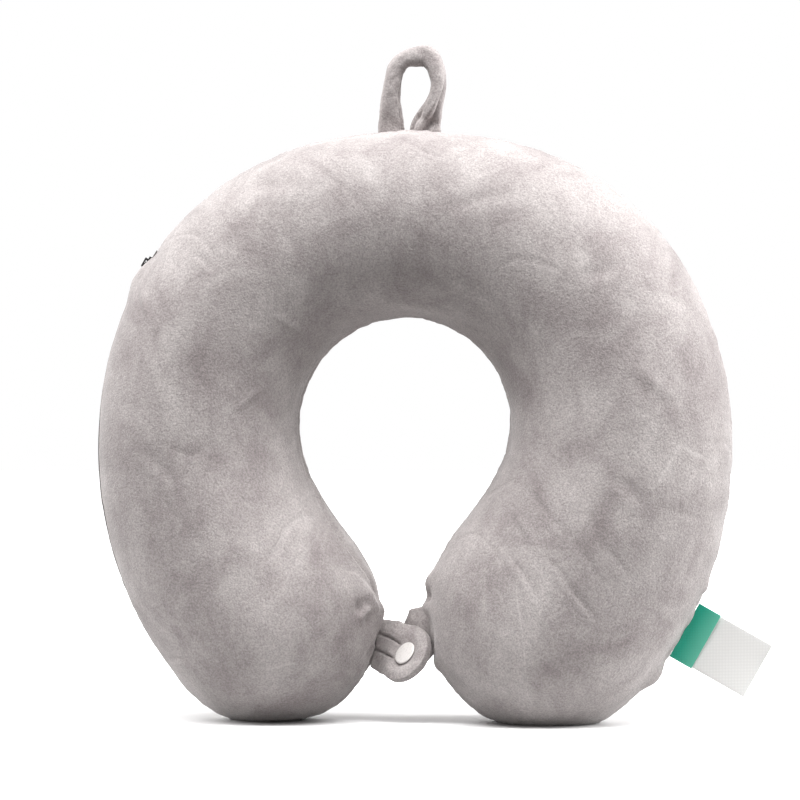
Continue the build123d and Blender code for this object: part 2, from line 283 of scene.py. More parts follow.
def nap_group():
    """Patches and strokes of brushed pile, plus a few thin pale rub lines."""
    group, given, out = new_group(
        "Brushed Nap", [("Patch Scale", 26.0), ("Stroke Scale", 60.0)], ["Nap", "Rub"])
    place = object_place(group)
    patches = add_node(group, "ShaderNodeTexNoise", {
        "Vector": place, "Scale": given.outputs["Patch Scale"], "Detail": 5.0,
        "Roughness": 0.62, "Distortion": 0.7}).outputs["Fac"]
    slanted = add_node(group, "ShaderNodeMapping", {
        "Vector": place, "Rotation": (0.2, radians(38), 0.1), "Scale": (1.0, 1.0, 0.5)})
    strokes = add_node(group, "ShaderNodeTexNoise", {
        "Vector": slanted.outputs["Vector"], "Scale": given.outputs["Stroke Scale"],
        "Detail": 4.0, "Roughness": 0.55, "Distortion": 1.2}).outputs["Fac"]
    both = maths(group, "MULTIPLY_ADD", strokes, 0.28, maths(group, "MULTIPLY", patches, 0.72))
    group.links.new(ranged(group, both, 0.36, 0.64), out.inputs["Nap"])
    crossed = add_node(group, "ShaderNodeMapping", {
        "Vector": place, "Rotation": (0.4, radians(-50), 0.3), "Scale": (1.0, 1.0, 0.35)})
    lines = add_node(group, "ShaderNodeTexNoise", {
        "Vector": crossed.outputs["Vector"], "Scale": 22.0, "Detail": 1.0, "Distortion": 0.4})
    apart = maths(group, "ABSOLUTE", maths(group, "SUBTRACT", lines.outputs["Fac"], 0.5))
    thin = ranged(group, apart, 0.0, 0.004, 1.0, 0.0)
    rare = ranged(group, patches, 0.53, 0.62)
    group.links.new(maths(group, "MULTIPLY", thin, rare), out.inputs["Rub"])
    return group


def pile_group():
    """Fine speckle of short fibres, as a value and as a height."""
    group, given, out = new_group("Pile Grain", [("Fibre Scale", 1150.0)], ["Grain", "Height"])
    place = object_place(group)
    fine = add_node(group, "ShaderNodeTexNoise", {
        "Vector": place, "Scale": given.outputs["Fibre Scale"], "Detail": 3.0,
        "Roughness": 0.7}).outputs["Fac"]
    clumps = add_node(group, "ShaderNodeTexNoise", {
        "Vector": place, "Scale": 420.0, "Detail": 2.0, "Roughness": 0.5}).outputs["Fac"]
    group.links.new(ranged(group, fine, 0.3, 0.7), out.inputs["Grain"])
    group.links.new(maths(group, "MULTIPLY_ADD", clumps, 0.7, fine), out.inputs["Height"])
    return group


def weave_group():
    """Over and under threads in two directions."""
    group, given, out = new_group("Fine Weave", [("Threads", 120.0)], ["Height"])
    place = object_place(group)
    across, along = (add_node(group, "ShaderNodeTexWave", {
        "Vector": place, "Scale": given.outputs["Threads"], "Distortion": 0.3},
        bands_direction=way).outputs["Fac"] for way in "XZ")
    group.links.new(maths(group, "MULTIPLY", across, along), out.inputs["Height"])
    return group


def new_material(name, **sockets):
    """Principled material with plain values on its own sockets."""
    material = bpy.data.materials.new(name)
    material.use_nodes = True
    shader = material.node_tree.nodes["Principled BSDF"]
    for key, value in sockets.items():
        shader.inputs[key.replace("_", " ")].default_value = value
    return material, material.node_tree, shader


def grouped(tree, group, **values):
    """Places a node group in a material with its own input values."""
    node = tree.nodes.new("ShaderNodeGroup")
    node.node_tree = group
    for key, value in values.items():
        node.inputs[key.replace("_", " ")].default_value = value
    return node


def bump(tree, shader, height, distance, strength=1.0):
    node = add_node(tree, "ShaderNodeBump", {
        "Height": height, "Distance": distance, "Strength": strength})
    tree.links.new(node.outputs["Normal"], shader.inputs["Normal"])


def velour_material(name, settings, nap, pile, patch_scale):
    """Brushed velour: nap in patches, speckled pile, pale rub lines and sheen."""
    worn, pile_height = (0.75, 0.71, 0.69, 1), 0.45 * MM
    material, tree, shader = new_material(
        name, Roughness=0.88, Sheen_Weight=0.55, Sheen_Roughness=0.42, IOR=1.4,
        Specular_IOR_Level=0.18, Sheen_Tint=(0.96, 0.93, 0.92, 1))
    brushed = grouped(tree, nap, Patch_Scale=patch_scale).outputs
    fibres = grouped(tree, pile).outputs
    tone = mixed(tree, brushed["Nap"], (*settings.dark, 1), (*settings.light, 1))
    speckled = mixed(tree, 1.0, tone, ranged(tree, fibres["Grain"], low=0.70, high=1.28),
                     "MULTIPLY")
    rubbed = mixed(tree, maths(tree, "MULTIPLY", brushed["Rub"], 0.30), speckled, worn)
    tree.links.new(rubbed, shader.inputs["Base Color"])
    tree.links.new(ranged(tree, brushed["Nap"], low=0.94, high=0.80), shader.inputs["Roughness"])
    bump(tree, shader, fibres["Height"], pile_height, 0.7)
    return material


def woven_material(name, colour, weave, threads, roughness=0.6, sheen=0.2):
    """Woven cloth of one colour, with painted shade between its threads."""
    thread_height = 0.08 * MM
    material, tree, shader = new_material(
        name, Base_Color=(*colour, 1), Roughness=roughness, Sheen_Weight=sheen)
    height = grouped(tree, weave, Threads=threads).outputs["Height"]
    # painted shade in the gaps between threads, a touch lighter on their crowns
    shaded = mixed(tree, 1.0, (*colour, 1), ranged(tree, height, low=0.82, high=1.05),
                   "MULTIPLY")
    tree.links.new(shaded, shader.inputs["Base Color"])
    bump(tree, shader, height, thread_height, 0.6)
    return material


def ribbon_material(name, colour, weave):
    """Satin ribbon with painted shade where it enters the seam and a painted sheen that pales it towards its fold.
    """
    # colour of the painted sheen, and the distance over which it takes over from the painted shade at the seam
    pale, fade = (0.30, 0.75, 0.58, 1), 10 * MM
    material = woven_material(name, colour, weave, 420.0, 0.35, 0.15)
    tree = material.node_tree
    offset = add_node(tree, "ShaderNodeVectorMath", {0: object_place(tree), 1: LABEL_FOLD},
                      operation="SUBTRACT")
    reach = add_node(tree, "ShaderNodeVectorMath", {0: offset.outputs[0], 1: LABEL_OUT},
                     operation="DOT_PRODUCT")
    # share of painted sheen: none at the seam, where the ribbon keeps its painted shade, rising outward
    painted_sheen_share = ranged(tree, reach.outputs["Value"], 0.0, fade, 0.0, 0.42)
    base = tree.nodes["Principled BSDF"].inputs["Base Color"]
    tree.links.new(mixed(tree, painted_sheen_share, base.links[0].from_socket, pale), base)
    return material


def moulded_material(name, colour, pile, roughness, metallic=0.0, coat=0.0):
    """Plastic or painted metal with slight cloudiness and fine wear."""
    wear_height = 0.02 * MM
    material, tree, shader = new_material(
        name, Metallic=metallic, Coat_Weight=coat, IOR=1.48)
    cloud = grouped(tree, pile, Fibre_Scale=900.0).outputs
    clouded = mixed(tree, 1.0, (*colour, 1), ranged(tree, cloud["Height"], low=0.90, high=1.05),
                    "MULTIPLY")
    tree.links.new(clouded, shader.inputs["Base Color"])
    rough = ranged(tree, cloud["Grain"], low=roughness - 0.05, high=roughness + 0.08)
    tree.links.new(rough, shader.inputs["Roughness"])
    bump(tree, shader, cloud["Height"], wear_height, 0.3)
    return material


FINISHES = {}


def make_finishes():
    """Builds the node groups and every finish, once."""
    velour = bpy.context.scene.neck_pillow_velour
    trim = bpy.context.scene.neck_pillow_trim
    nap, pile, weave = nap_group(), pile_group(), weave_group()
    FINISHES.update(
        cover=velour_material("Velour Cover", velour, nap, pile, 28.0),
        strap=velour_material("Velour Strap", velour, nap, pile, 70.0),
        ribbon=ribbon_material("Ribbon Satin", trim.ribbon, weave),
        satin=woven_material("Label Satin", trim.satin, weave, 460.0, 0.5, 0.1),
        tape=woven_material("Zip Tape", trim.zip_nylon, weave, 300.0, 0.75, 0.2),
        coil=moulded_material("Zip Nylon", trim.zip_nylon, pile, 0.45),
        slider=moulded_material("Slider Paint", trim.zip_metal, pile, 0.32, 0.7, 0.2),
        stud=moulded_material("Stud Plastic", trim.stud, pile, 0.28, 0.0, 0.15),
        lining=woven_material("Liner Cloth", (0.8, 0.8, 0.78), weave, 200.0, 0.9, 0.1),
        foam=moulded_material("Foam", (0.86, 0.80, 0.62), pile, 0.95))


# ---- cover -----------------------------------------------------------
def swell(obj, limit):
    """Lets the cushion swell as pressurised cloth held along its seam."""
    held_width, least_hold, frames = 4 * MM, 0.05, 20
    held = obj.vertex_groups.new(name="seam")
    for vertex in obj.data.vertices:
        weight = bell(abs(vertex.co.y), held_width)
        if weight > least_hold:
            held.add([vertex.index], min(1.0, weight * 1.2), "REPLACE")
    start = [v.co.copy() for v in obj.data.vertices]
    only(obj)
    cloth = obj.modifiers.new("Cloth", "CLOTH")
    cloth.settings.quality = 5
    cloth.settings.mass = 0.25
    cloth.settings.tension_stiffness = 12
    cloth.settings.compression_stiffness = 12
    cloth.settings.bending_stiffness = 0.4
    cloth.settings.use_pressure = True
    cloth.settings.uniform_pressure_force = 4.0
    cloth.settings.vertex_group_mass = held.name
    cloth.settings.effector_weights.gravity = 0
    for step in range(1, frames + 1):
        bpy.context.scene.frame_set(step)
    bpy.ops.object.modifier_apply(modifier=cloth.name)
    bpy.context.scene.frame_set(1)
    for vertex, was in zip(obj.data.vertices, start):
        step = vertex.co - was
        if step.length > limit:
            vertex.co = was + step * (limit / step.length)
    obj.vertex_groups.clear()


def settle(obj, start, normals):
    """Brings the swollen cushion back to the cover's size, keeping its unevenness."""
    deepest, highest = -0.5 * MM, 1.4 * MM
    gain, sideways_share = 1.4, 0.6
    rises = [(v.co - was).dot(n) for v, was, n in zip(obj.data.vertices, start, normals)]
    middle = sum(rises) / len(rises)
    for vertex, was, normal, rise in zip(obj.data.vertices, start, normals, rises):
        sideways = (vertex.co - was) - normal * rise
        uneven = clamp(gain * (rise - middle), deepest, highest)
        vertex.co = was + sideways * sideways_share + normal * (LAYERS + uneven)


def around(p):
    """Angle and distance of a point round the neck opening."""
    offset = p - NECK
    return atan2(offset.x, offset.z), sqrt(offset.x**2 + offset.z**2)


def seam_gathers(p, amount):
    """Small gathers that die out a little way from the seam."""
    spacing, breadth, last = 5.2 * MM, 9 * MM, 26 * MM
    beside = abs(p.y)
    if beside > last:
        return 0.0
    turn, reach = around(p)
    run = turn * reach / spacing
    side = 3.1 if p.y > 0 else 0.0
    wave = noise.noise(Vector((run, side, 0.4))) + 0.5 * noise.noise(Vector((run * 2.1, side, 4)))
    fade = bell(beside, breadth)
    strength = 0.4 + 0.9 * abs(noise.noise(Vector((run * 0.12, side, 9))))
    return amount * wave * fade * strength


def crease_lines(p):
    """Shallow folds left by packing, thin and far apart."""
    depth, thinness = 0.38 * MM, 0.035
    slanted = Vector((p.x * 0.75 + p.z * 0.66, p.y * 0.8, p.z * 0.3 - p.x * 0.25))
    value = noise.noise(slanted * 26)
    thin = max(0.0, 1 - abs(value) / thinness)
    rare = max(0.0, noise.noise(p * 17 + Vector((3, 1, 7))) - 0.10)
    return -depth * thin * min(1.0, rare * 5)


def gathered_about(p, centre, reach, folds, height, spin=0.0):
    """Folds that run out from a place where something is sewn in."""
    smooth_middle = 3 * MM
    offset = p - centre
    distance = offset.length
    if distance > 3 * reach:
        return 0.0
    turn = atan2(offset.y, sqrt(offset.x**2 + offset.z**2) * (1 if offset.z > 0 else -1))
    wave = cos(folds * turn + spin + 2.0 * noise.noise(p * 60))
    return height * wave * exp(-distance / reach) * min(1.0, distance / smooth_middle)


# where the cover bulges or dips beside what is sewn into it: x, y, z, width, height in mm
SOFT_LUMPS = (
    (-17.3, -14.0, 59.0, 6.5, 3.2), (-13.8, -3.0, 53.0, 5.5, 3.4),
    (-15.6, -11.0, 53.5, 3.4, 2.6), (-18.4, -19.0, 52.4, 2.4, 2.6),
    (-20.4, -22.5, 50.4, 2.2, 1.6), (-21.0, -23.5, 54.4, 2.6, -3.4),
    (-18.6, -19.0, 56.4, 2.4, -2.0), (-17.6, -17.5, 49.0, 2.6, -1.8),
    (-14.6, -6.0, 46.0, 4.5, 2.2), (-17.0, -8.0, 32.0, 5.0, -1.4),
    (8.6, -7.0, 66.0, 5.5, 3.2), (9.2, -10.0, 59.0, 3.0, -2.4),
    (7.0, -8.0, 54.0, 4.0, 3.0), (9.0, -12.0, 44.0, 5.0, -2.0),
    (12.5, -12.0, 27.0, 5.0, 2.8), (10.5, -10.0, 34.0, 3.0, -1.2),
    (114.5, -4.0, 21.0, 8.0, 3.2), (106.0, -5.0, 14.0, 5.0, -1.0),
    (122.0, -8.0, 30.0, 4.0, -1.2), (131.0, -5.0, 58.5, 4.0, -3.0), (135.0, -5.0, 64.0, 5.0, 1.4),
    (-128.5, -9.0, 213.0, 6.5, 2.6), (-131.5, -8.5, 205.0, 6.5, 2.2),
    (-120.0, -14.0, 203.0, 5.0, -1.5), (-117.0, -13.0, 217.0, 4.0, -1.0),
    (-104.0, -3.0, 16.0, 4.0, -1.1), (-98.0, -3.0, 11.0, 3.5, 1.0))

# creases in the front panel: x and z of both ends, depth and half breadth in mm
CREASES = (
    (66, 80, 90, 50, 0.85, 1.2), (49, 81, 65, 59, 0.65, 1.2), (51, 99, 63, 82, -0.5, 1.5),
    (-60, 189, -45, 180, -0.6, 1.3), (-79, 145, -65, 157, -0.5, 1.3),
    (-97, 219, -87, 209, 0.6, 1.3), (-126, 207, -119, 186, -0.6, 1.3),
    (-82, 247, -48, 252, 0.7, 3.5), (-111, 31, -97, 29, 0.7, 1.6), (-66, 14, -69, 3, 0.7, 1.4),
    (-38, 26, -23, 25, 0.6, 1.4), (96, 118, 112, 102, 0.5, 3.0), (104, 168, 126, 150, -0.4, 3.0),
    (20, 238, 52, 246, 0.5, 3.5), (-120, 128, -103, 112, 0.5, 3.0), (80, 205, 104, 214, 0.5, 3.0))


def crease_depth(p):
    """How far the front panel sinks into its creases."""
    beside_seam = 6 * MM
    if p.y > -beside_seam:
        return 0.0
    sink = 0.0
    for x1, z1, x2, z2, depth, wide in CREASES:
        start, end = Vector((x1, z1)) * MM, Vector((x2, z2)) * MM
        run, here = end - start, Vector((p.x, p.z)) - start
        share = here.dot(run) / run.length_squared
        if -0.1 < share < 1.1:
            wander = 1.2 * MM * noise.noise(Vector((p.x * 90, 0, p.z * 90)))
            aside = here.cross(run) / run.length + wander
            ends = max(0.0, 1 - abs(2 * share - 1))**0.5
            line = bell(aside, wide * MM) - 0.45 * bell(aside - 1.9 * wide * MM, wide * MM)
            sink += depth * MM * line * ends
    return sink


def soft_lumps(p):
    """The larger soft bumps beside the closure and the labels."""
    rise = 0.0
    for x, y, z, width, height in SOFT_LUMPS:
        distance = (p - Vector((x, y, z)) * MM).length
        if distance < 2.5 * width * MM:
            rise += height * MM * bell(distance, width * MM)
    return rise


def zip_trench(p):
    """How far a point sinks to open the seam over the zip."""
    depth, half_width, side_slope, end_slope = 4.6 * MM, 5.0 * MM, 1.6 * MM, 5 * MM
    lip_height, lip_place, lip_breadth, lip_end = 0.9 * MM, 6.6 * MM, 1.8 * MM, 18 * MM
    radius, angle = zip_place(p)
    beside = abs(p.y)
    if beside > 12 * MM or radius < SEAM_RADIUS - 8 * MM or not ZIP_START < angle < ZIP_END:
        return 0.0
    edge = min(angle - ZIP_START, ZIP_END - angle) * SEAM_RADIUS
    lip = lip_height * bell(beside - lip_place, lip_breadth) * min(1.0, edge / lip_end)**2
    wide = clamp((half_width - beside) / side_slope)
    return depth * wide * wide * (3 - 2 * wide) * min(1.0, edge / end_slope) - lip


def seam_ridge(p):
    """Two low ridges where the seam's allowances lie under the velour."""
    neck_side, outer_side = 0.85 * MM, 0.45 * MM
    ridge_place, ridge_breadth, last = 3.2 * MM, 1.9 * MM, 9 * MM
    beside = abs(p.y)
    if beside > last:
        return 0.0
    height = neck_side if around(p)[1] < 75 * MM else outer_side
    uneven = 0.7 + 0.5 * noise.noise(p * 55)
    return height * uneven * bell(beside - ridge_place, ridge_breadth)


def cover_relief(settings):
    """Everything that the velour adds to the plain swollen form."""
    deepest_pocket = -1.6 * MM   # the liner lies just below it

    def shift(p, normal):
        rise = 0.8 * MM * noise.noise(p * 13) + 0.35 * MM * noise.noise(p * 41)
        rise += seam_gathers(p, settings.pucker) + crease_lines(p) + soft_lumps(p)
        rise += seam_ridge(p)
        rise += gathered_about(p, LEFT_FOLD, 11 * MM, 7, 1.1 * MM)
        rise += gathered_about(p, RIGHT_FOLD, 10 * MM, 6, 1.0 * MM, 1.0)
        rise += gathered_about(p, LABEL_FOLD, 12 * MM, 5, 0.9 * MM, 2.0)
        rise += gathered_about(p, LOOP_FOLD, 9 * MM, 5, 0.6 * MM)
        return max(rise - crease_depth(p), deepest_pocket) - zip_trench(p)
    return shift


def keep_on_floor(obj):
    """Presses the feet flat where they rest."""
    floor, pressed, squeeze = COVER_LOW.z, 0.9 * MM, 0.25
    for vertex in obj.data.vertices:
        if vertex.co.z < floor + pressed:
            vertex.co.z = floor + max(0.0, vertex.co.z - floor) * squeeze
    obj.data.update()


def seam_wander(p):
    """How far the sewn seam strays to the front, most beside the way in on the left."""
    farthest, breadth = 14 * MM, 16 * MM
    centre, reach, outer_limit = Vector((-34 * MM, 82 * MM)), 34 * MM, -62 * MM
    if p.x <= outer_limit:
        return 0.0
    inner_left = bell((Vector((p.x, p.z)) - centre).length, reach)
    return -farthest * inner_left * bell(abs(p.y), breadth)


def half_of(whole, name, side, depth):
    """One panel of the cover: cut at the seam plane, closed, its edge tucked in."""
    tucked, tuck_fall, least_flat = 4 * MM, 1.6 * MM, 0.1
    obj = whole.copy()
    obj.data = whole.data.copy()
    obj.name = name
    bpy.context.scene.collection.objects.link(obj)
    only(obj)
    bpy.ops.object.mode_set(mode="EDIT")
    bpy.ops.mesh.select_all(action="SELECT")
    bpy.ops.mesh.bisect(plane_co=(0, 0, 0), plane_no=(0, -side, 0), clear_inner=False,
                        clear_outer=True, use_fill=False)
    bpy.ops.object.mode_set(mode="OBJECT")
    mesh = obj.data
    normals = [v.normal.copy() for v in mesh.vertices]
    for vertex, normal in zip(mesh.vertices, normals):
        beside = abs(vertex.co.y)
        flat = Vector((normal.x, 0, normal.z))
        if flat.length <= least_flat:
            continue
        if beside < tucked:
            vertex.co -= flat.normalized() * depth * exp(-beside / tuck_fall)
        was, stray = vertex.co.y, seam_wander(vertex.co)
        if stray:
            vertex.co.y += stray
            vertex.co -= flat.normalized() * (vertex.co.y**2 - was**2) / (2 * SECTION_RADIUS)
    bpy.ops.object.mode_set(mode="EDIT")
    bpy.ops.mesh.select_all(action="DESELECT")
    bpy.ops.mesh.select_mode(type="EDGE")
    bpy.ops.mesh.select_non_manifold(extend=False)
    bpy.ops.mesh.edge_face_add()
    bpy.ops.mesh.select_all(action="DESELECT")
    bpy.ops.object.mode_set(mode="OBJECT")
    return obj


class NECKPILLOW_OT_cover(bpy.types.Operator):
    """Swells the velour cover over the foam and splits it into its two panels"""
    bl_idname = "neck_pillow.cover"
    bl_label = "Velour cover"

    def execute(self, context):
        settings = context.scene.neck_pillow_velour
        whole = form_from("foam_core", "cover_form")
        remesh(whole, settings.voxel)
        smooth(whole, 0.5, 6)
        start = [v.co.copy() for v in whole.data.vertices]
        normals = [v.normal.copy() for v in whole.data.vertices]
        swell(whole, settings.swell)
        settle(whole, start, normals)
        smooth(whole, 0.5, 1)
        subdivide(whole, 2)
        move_points(whole, cover_relief(settings))
        keep_on_floor(whole)
        for side, name, node in ((-1, "velour_front", "cover_front_panel"),
                                 (1, "velour_back", "cover_back_panel")):
            panel = half_of(whole, name, side, settings.seam_depth)
            finish_piece(panel, FINISHES["cover"], "pillow", (node,), 50)
        bpy.data.objects.remove(whole)
        return {"FINISHED"}


# ---- hanging loop ----------------------------------------------------
# across, above the pillow, half the strap's breadth as seen from the front (mm)
STRAP_ROUTE = (
    (-10.1, -3.0, 6.4), (-10.1, 1.0, 6.2), (-10.3, 7.5, 5.5), (-10.4, 14.5, 4.6),
    (-9.6, 21.6, 4.0), (-7.9, 28.4, 4.1), (-4.2, 32.8, 4.0), (1.2, 34.4, 4.6),
    (6.9, 34.3, 5.3), (10.7, 29.3, 4.3), (12.0, 21.8, 3.7), (10.8, 14.5, 3.9),
    (8.2, 7.5, 5.6), (6.2, 1.4, 7.2), (6.0, -3.0, 7.4))


def spline_value(values, at):
    """Catmull-Rom value between a list's entries, at running from 0 to 1."""
    place = at * (len(values) - 1)
    index = min(int(place), len(values) - 2)
    t = place - index
    p0, p1 = values[max(index - 1, 0)], values[index]
    p2, p3 = values[index + 1], values[min(index + 2, len(values) - 1)]
    return p1 + 0.5 * t * (p2 - p0 + t * (2 * p0 - 5 * p1 + 4 * p2 - p3
                                          + t * (3 * (p1 - p2) + p3 - p0)))


def strap_groove(at, turn):
    """Depth of the strap's sewn edge and of the fold where its right leg twists."""
    twist_start = 0.66
    seam = radians(spline_value((158, 150, 165, 200, 215, 190, 160, 135, 150), at))
    depth = 1.5 * bell(turn - seam, 0.20)
    if at > twist_start:
        share = (at - twist_start) / (1 - twist_start)
        fold = radians(5 + 95 * share)
        depth += 2.3 * bell(turn - fold, 0.26) * min(1.0, 4 * share)
        depth -= 0.9 * bell(turn - fold - 0.55, 0.30) * min(1.0, 4 * share)
    return depth * MM


class NECKPILLOW_OT_loop(bpy.types.Operator):
    """Folds the velour strap of the hanging loop over and lets one leg twist"""
    bl_idname = "neck_pillow.loop"
    bl_label = "Hanging loop"

    def execute(self, context):
        trim = context.scene.neck_pillow_trim
        base = COVER_HIGH.z
        girth = (trim.strap_width**2 + trim.strap_thickness**2) / 4
        rings, spokes, step = 150, 64, 0.004
        least_half_depth, squareness = 2.3 * MM, 2.6
        bpy.ops.object.select_all(action="DESELECT")
        bpy.ops.mesh.primitive_grid_add(x_subdivisions=rings, y_subdivisions=spokes, size=1)
        obj = context.active_object
        obj.name = "loop_strap"
        xs, ups, halves = ([row[i] * MM for row in STRAP_ROUTE] for i in range(3))

        def on_route(at):
            return Vector((spline_value(xs, at), 0, spline_value(ups, at)))
        for vertex in obj.data.vertices:
            at, turn = vertex.co.x + 0.5, (vertex.co.y + 0.5) * 2 * pi
            run = (on_route(min(1, at + step)) - on_route(max(0, at - step))).normalized()
            outward = Vector((-run.z, 0, run.x))
            half = spline_value(halves, at)
            deep = sqrt(max(least_half_depth**2, girth - half * half))
            groove = strap_groove(at, turn)
            soft = 0.35 * MM * noise.noise(Vector((at * 22, cos(turn) * 1.4, sin(turn) * 1.4)))
            x, y = cos(turn), sin(turn)
            squared = (abs(x)**squareness + abs(y)**squareness)**(-1 / squareness)
            vertex.co = (on_route(at) + Vector((0, 0, base))
                         + outward * (half * squared - groove + soft) * x
                         + Vector((0, -1, 0)) * (deep * squared - groove + soft) * y)
        only(obj)
        bpy.ops.object.mode_set(mode="EDIT")
        bpy.ops.mesh.select_all(action="SELECT")
        bpy.ops.mesh.remove_doubles(threshold=0.01 * MM)
        bpy.ops.mesh.select_all(action="DESELECT")
        bpy.ops.mesh.select_mode(type="EDGE")
        bpy.ops.mesh.select_non_manifold(extend=False)
        bpy.ops.mesh.fill_holes(sides=0)
        bpy.ops.mesh.select_all(action="SELECT")
        bpy.ops.mesh.normals_make_consistent(inside=False)
        bpy.ops.object.mode_set(mode="OBJECT")
        smooth(obj, 0.5, 2)
        finish_piece(obj, FINISHES["strap"], None, ("hanging_loop",), 80)
        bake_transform(obj)
        return {"FINISHED"}


# ---- closure tabs and press stud -------------------------------------
def tab_frame(body):
    """Place and directions of a tab: fold, way to the tip, fold axis, way to the front."""
    folds = {"left_tab": (LEFT_FOLD, LEFT_FOLD_AXIS), "right_tab": (RIGHT_FOLD, RIGHT_FOLD_AXIS)}
    fold, axis = folds[body]
    out = STUD - fold
    out -= axis * out.dot(axis)
    out.normalize()
    return fold, out, axis, to_front(out.cross(axis))


def lean_over(obj, share, angle=radians(19)):
    """Turns the points of a closure piece about the stud, so it faces up a little."""
    wanted = Vector((-0.62, -0.62, 0.48)).normalized()
    turn_axis = tab_frame("left_tab")[3].cross(wanted).normalized()
    for vertex in obj.data.vertices:
        turn = Matrix.Rotation(angle * share(vertex.co), 3, turn_axis)
        vertex.co = STUD + turn @ (vertex.co - STUD)
    obj.data.update()


def lean_share(fold, out):
    """A tab's share of the lean: none at its seam, all of it 10 mm away."""
    return lambda p: clamp(((p - fold).dot(out) - 1 * MM) / (9 * MM))


def soft_tab(name, node, body, inward):
    """A velour tab: rounded, puffed, and drawn back into its seam."""
    voxel, root, tuck = 0.55 * MM, 4 * MM, 4.2 * MM
    waist_place, waist_reach, waist_share = 4.5 * MM, 6 * MM, 0.20
    obj = form_from(node, name)
    remesh(obj, voxel)
    smooth(obj, 0.5, 8)
    fold, out, axis, front = tab_frame(body)
    for vertex in obj.data.vertices:
        offset = vertex.co - fold
        reach, across = offset.dot(out), offset.dot(axis)
        if reach < root:
            pull = (root - reach) / root
            vertex.co -= inward * pull * pull * tuck
        waist = max(0.0, 1 - abs(reach - waist_place) / waist_reach)
        vertex.co += axis * across * waist_share * waist
    obj.data.update()
    return obj, fold, out, axis, front


class NECKPILLOW_OT_tabs(bpy.types.Operator):
    """Softens the two closure tabs, pleats the front one and seats its stud cap"""
    bl_idname = "neck_pillow.tabs"
    bl_label = "Closure tabs"

    def execute(self, context):
        obj, fold, out, axis, front = soft_tab(
            "snap_tab_left", "left_closure_tab", "left_tab", Vector((1, 0, -0.24)))
        stud_reach = (STUD - fold).dot(out)
        pleats = ((-3.6 * MM, 0.16), (3.9 * MM, 0.12))   # place across the tab, and its slant
        pleat_depth, pleat_breadth = 1.9 * MM, 0.55 * MM
        before_stud, pleat_end = 3.5 * MM, 3 * MM

        def quilted(p, normal):
            offset = p - fold
            reach, across = offset.dot(out), offset.dot(axis)
            apart = sqrt((reach - stud_reach)**2 + across**2)
            rise = 0.3 * MM * noise.noise(p * 170)
            facing = abs(normal.dot(front))
            if facing < 0.4:
                return rise
            for line, slant in pleats:
                ends = clamp((stud_reach - before_stud - reach) / pleat_end)
                slanted = line + slant * (reach - stud_reach / 2)
                rise -= pleat_depth * bell(across - slanted, pleat_breadth) * ends
            rise -= 0.9 * MM * bell(apart, 6.0 * MM)
            rise += 0.9 * MM * bell(apart - 9.8 * MM, 3.0 * MM)
            return rise * min(1.0, facing * 1.2)
        move_points(obj, quilted)
        lean_over(obj, lean_share(fold, out))
        finish_piece(obj, FINISHES["strap"], None, ("left_closure_tab",), 80)
        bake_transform(obj)

        cap = form_from("snap_cap", "stud_cap")
        forward, sunk, flatter = 0.25 * MM, 0.45 * MM, 0.45
        along_tab, rim, dome, cap_radius = out * 1.3 * MM, 0.2 * MM, 0.35 * MM, 5.6 * MM
        for vertex in cap.data.vertices:
            vertex.co += front * forward + along_tab
            offset = vertex.co - STUD - along_tab
            height = offset.dot(front)
            flat = offset - front * height
            vertex.co -= front * (height * flatter + sunk)
            if height > rim:
                vertex.co += front * dome * max(0.0, 1 - (flat.length / cap_radius)**2)
        lean_over(cap, lambda p: 1.0, radians(23))
        finish_piece(cap, FINISHES["stud"], "left_tab", ("snap_cap",), 35)

        obj, fold, out, axis, front = soft_tab(
            "snap_tab_right", "right_closure_tab", "right_tab", Vector((-1, -0.1, 0.1)))
        upward = axis if axis.z > 0 else -axis
        rooted, root_reach = Vector((4.5 * MM, 2 * MM, 8 * MM)), 17 * MM
        upper_breadth, upper_shift, narrower = 5 * MM, 5.5 * MM, 0.45
        for vertex in obj.data.vertices:
            offset = vertex.co - fold
            reach, across = offset.dot(out), offset.dot(upward)
            if across < 0:
                vertex.co -= upward * across * narrower
            vertex.co += rooted * clamp(1 - reach / root_reach)
            vertex.co.x -= (upper_shift * clamp(across / upper_breadth)
                            * clamp((reach - 2 * MM) / (9 * MM)))
        obj.data.update()
        move_points(obj, lambda p, normal: 0.4 * MM * noise.noise(p * 150))
        lean_over(obj, lean_share(fold, out))
        finish_piece(obj, FINISHES["strap"], None, ("right_closure_tab",), 80)
        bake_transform(obj)
        return {"FINISHED"}


# ---- labels ----------------------------------------------------------
def cloth_strip(name, reach, width, thickness, lift, curl, tuck):
    """A thin woven strip standing out of the seam, gently curled."""
    bpy.ops.object.select_all(action="DESELECT")
    bpy.ops.mesh.primitive_grid_add(x_subdivisions=28, y_subdivisions=20, size=1)
    obj = bpy.context.active_object
    obj.name = name
    for vertex in obj.data.vertices:
        along = (vertex.co.x + 0.5) * (reach + tuck) - tuck
        across = vertex.co.y * width
        bend = curl(max(0.0, along) / reach, vertex.co.y)
        vertex.co = LABEL_FOLD + LABEL_OUT * along + LABEL_SEAM * across
        vertex.co.y += lift + bend
    obj.data.update()
    add_and_apply(obj, "SOLIDIFY", thickness=thickness, offset=0)
    add_and_apply(obj, "BEVEL", width=thickness * 0.3, segments=2)
    return obj


